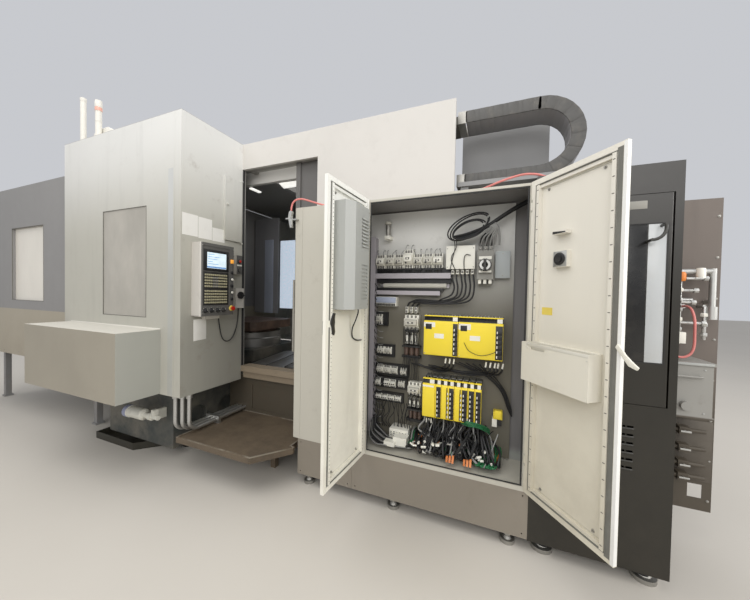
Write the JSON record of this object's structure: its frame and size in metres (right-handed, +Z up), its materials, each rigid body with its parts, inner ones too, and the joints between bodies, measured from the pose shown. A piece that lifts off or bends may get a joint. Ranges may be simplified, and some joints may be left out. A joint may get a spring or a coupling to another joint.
{
  "type": "horizontal machining centre",
  "caption": "Horizontal machining centre with a pallet loading guard, operator bay, open electrical cabinet, tool magazine unit, cable chain and side utility panel.",
  "frame": {"origin": "centre of the machine's footprint on the floor", "axes": "+X along the machine to the utility panel, +Y from the operator's side to the back, +Z up"},
  "size_m": [8.008, 4, 3.677],
  "materials": {
    "cast_green": "painted casting, satin",
    "ground_steel": "ground, lightly oiled",
    "light_guard": "textured light gray enamel",
    "dark_guard": "blue gray enamel, satin",
    "black_guard": "black enamel, semi gloss",
    "cream_sheet": "cream enamel, satin",
    "gray_sheet": "gray enamel, dusty",
    "brown_sheet": "worn brown gray floor plate",
    "glass": "hazy safety glass",
    "white_plastic": "moulded housings, satin",
    "black_plastic": "moulded, satin",
    "gray_plastic": "moulded, satin",
    "yellow_plastic": "moulded drive housings",
    "key_plastic": "membrane keys, satin",
    "red_plastic": "moulded, gloss",
    "hose_rubber": "extruded, satin",
    "cable_rubber": "extruded, dull",
    "zinc_steel": "zinc plated",
    "alloy": "cast and brushed",
    "rust_iron": "machined, surface rust",
    "white_metal": "white enamel"
  },
  "bodies": {
    "machine": {"bed": "cast_green", "levelling_feet": "zinc_steel", "guide_rails": "ground_steel", "load_stand": "dark_guard", "chip_conveyor": "dark_guard", "oil_filter": "white_metal", "block_guard": "light_guard", "windows": "glass", "apron": "light_guard", "load_guard": "dark_guard", "main_guard": "light_guard", "rear_guard": "light_guard", "top_frame": "light_guard", "chain_tray": "dark_guard", "cable_chain": "black_plastic", "magazine_housing": "black_guard", "cabinet_shell": "cream_sheet", "mounting_plate": "cream_sheet", "switchgear": "white_plastic", "servo_drives": "yellow_plastic", "main_breaker": "gray_plastic", "cabinet_wiring": "cable_rubber", "control_panel": "gray_sheet", "panel_face": "key_plastic", "platform": "brown_sheet", "utility_panel": "brown_sheet", "air_unit": "alloy", "conduits": "gray_plastic", "signal_tower": "white_metal", "air_hose": "hose_rubber", "air_gun": "alloy", "panel_cable": "cable_rubber", "way_covers": "ground_steel"},
    "column": {"column": "cast_green"},
    "head": {"spindle_head": "gray_sheet"},
    "spindle": {"spindle": "ground_steel"},
    "saddle": {"table_saddle": "cast_green"},
    "table": {"rotary_table": "ground_steel", "pallet": "rust_iron"},
    "load_turntable": {"load_pallet": "rust_iron"},
    "tool_arm": {"changer_arm": "alloy"},
    "magazine_wheel": {"magazine_disc": "gray_sheet", "tool_holders": "ground_steel"},
    "column_screw": {"column_screw": "ground_steel"},
    "head_screw": {"head_screw": "ground_steel"},
    "cross_screw": {"cross_screw": "ground_steel"},
    "load_door": {"load_door": "light_guard"},
    "shutter": {"pallet_shutter": "zinc_steel"},
    "operator_door": {"operator_door": "dark_guard"},
    "magazine_door": {"magazine_door": "black_guard"},
    "left_cabinet_door": {"cabinet_door_left": "cream_sheet", "heat_exchanger": "alloy"},
    "right_cabinet_door": {"cabinet_door_right": "cream_sheet", "door_pocket": "white_plastic"},
    "door_latch": {"door_latch": "black_plastic"},
    "door_hub": {"door_hub": "black_plastic"},
    "breaker_knob": {"breaker_knob": "black_plastic"},
    "estop_button": {"estop_button": "red_plastic"},
    "handwheel": {"handwheel": "black_plastic"},
    "access_cover": {"access_cover": "light_guard"}
  },
  "joints": [
    {"name": "column_slide", "type": "slide", "parent": "machine", "child": "column", "axis": [-1, 0, 0], "range_m": [0, 0.9], "deforming": ["cable_chain", "way_covers"]},
    {"name": "head_slide", "type": "slide", "parent": "column", "child": "head", "axis": [0, 0, 1], "range_m": [-0.5, 0.5]},
    {"name": "spindle_turn", "type": "hinge", "parent": "head", "child": "spindle", "pos_m": [0.6, 0, 1.75], "axis": [1, 0, 0], "continuous": true},
    {"name": "saddle_slide", "type": "slide", "parent": "machine", "child": "saddle", "axis": [0, 1, 0], "range_m": [-0.6, 0.6]},
    {"name": "table_turn", "type": "hinge", "parent": "saddle", "child": "table", "pos_m": [-0.6, 0, 1], "axis": [0, 0, 1], "continuous": true},
    {"name": "load_turn", "type": "hinge", "parent": "machine", "child": "load_turntable", "pos_m": [-2.6, 0, 1], "axis": [0, 0, 1], "continuous": true},
    {"name": "arm_turn", "type": "hinge", "parent": "column", "child": "tool_arm", "pos_m": [0.52, -0.4, 2.15], "axis": [1, 0, 0], "range_deg": [0, 180]},
    {"name": "magazine_turn", "type": "hinge", "parent": "machine", "child": "magazine_wheel", "pos_m": [3.3, -0.832, 1.6], "axis": [1, 0, 0], "continuous": true},
    {"name": "column_screw_turn", "type": "hinge", "parent": "machine", "child": "column_screw", "pos_m": [0.3, 0, 0.62], "axis": [1, 0, 0], "range_deg": [-1, 18001]},
    {"name": "head_screw_turn", "type": "hinge", "parent": "column", "child": "head_screw", "pos_m": [1.39, 0, 1], "axis": [0, 0, 1], "range_deg": [-9001, 9001]},
    {"name": "cross_screw_turn", "type": "hinge", "parent": "machine", "child": "cross_screw", "pos_m": [-0.6, 0, 0.62], "axis": [0, 1, 0], "range_deg": [-10801, 10801]},
    {"name": "load_door_slide", "type": "slide", "parent": "machine", "child": "load_door", "axis": [0, 1, 0], "range_m": [0, 0.95]},
    {"name": "shutter_lift", "type": "slide", "parent": "machine", "child": "shutter", "axis": [0, 0, 1], "range_m": [0, 1]},
    {"name": "operator_door_slide", "type": "slide", "parent": "machine", "child": "operator_door", "axis": [1, 0, 0], "range_m": [-0.61, 0.25]},
    {"name": "magazine_door_hinge", "type": "hinge", "parent": "machine", "child": "magazine_door", "pos_m": [3.544, -1.306, 1.6], "axis": [0, 0, 1], "range_deg": [0, 100]},
    {"name": "cabinet_left_hinge", "type": "hinge", "parent": "machine", "child": "left_cabinet_door", "pos_m": [1.788, -1.331, 1.35], "axis": [0, 0, 1], "range_deg": [-25, 93]},
    {"name": "cabinet_right_hinge", "type": "hinge", "parent": "machine", "child": "right_cabinet_door", "pos_m": [2.88, -1.331, 1.35], "axis": [0, 0, 1], "range_deg": [-128, 2]},
    {"name": "latch_turn", "type": "hinge", "parent": "left_cabinet_door", "child": "door_latch", "pos_m": [1.76225, -1.82233, 1.415], "axis": [0.9986, -0.0523, 0], "range_deg": [0, 90]},
    {"name": "hub_turn", "type": "hinge", "parent": "right_cabinet_door", "child": "door_hub", "pos_m": [3.01668, -1.50594, 1.808], "axis": [-0.788, -0.6157, 0], "range_deg": [0, 90]},
    {"name": "breaker_turn", "type": "hinge", "parent": "machine", "child": "breaker_knob", "pos_m": [2.609, -1.1, 1.822], "axis": [0, 1, 0], "range_deg": [0, 90]},
    {"name": "estop_push", "type": "slide", "parent": "machine", "child": "estop_button", "axis": [-1, 0, 0], "range_m": [0, 0.006], "stiffness_N_per_m": 2000},
    {"name": "handwheel_turn", "type": "hinge", "parent": "machine", "child": "handwheel", "pos_m": [0.25, -1.073, 1.56], "axis": [1, 0, 0], "continuous": true},
    {"name": "access_cover_hinge", "type": "hinge", "parent": "machine", "child": "access_cover", "pos_m": [0.227, -1.025, 2.4], "axis": [0, 0, 1], "range_deg": [0, 90]}
  ],
  "couplings": [
    {"joint": "column_screw_turn", "follows": "column_slide", "rad_per_m": 314.16},
    {"joint": "head_screw_turn", "follows": "head_slide", "rad_per_m": 314.16},
    {"joint": "cross_screw_turn", "follows": "saddle_slide", "rad_per_m": 314.16}
  ]
}
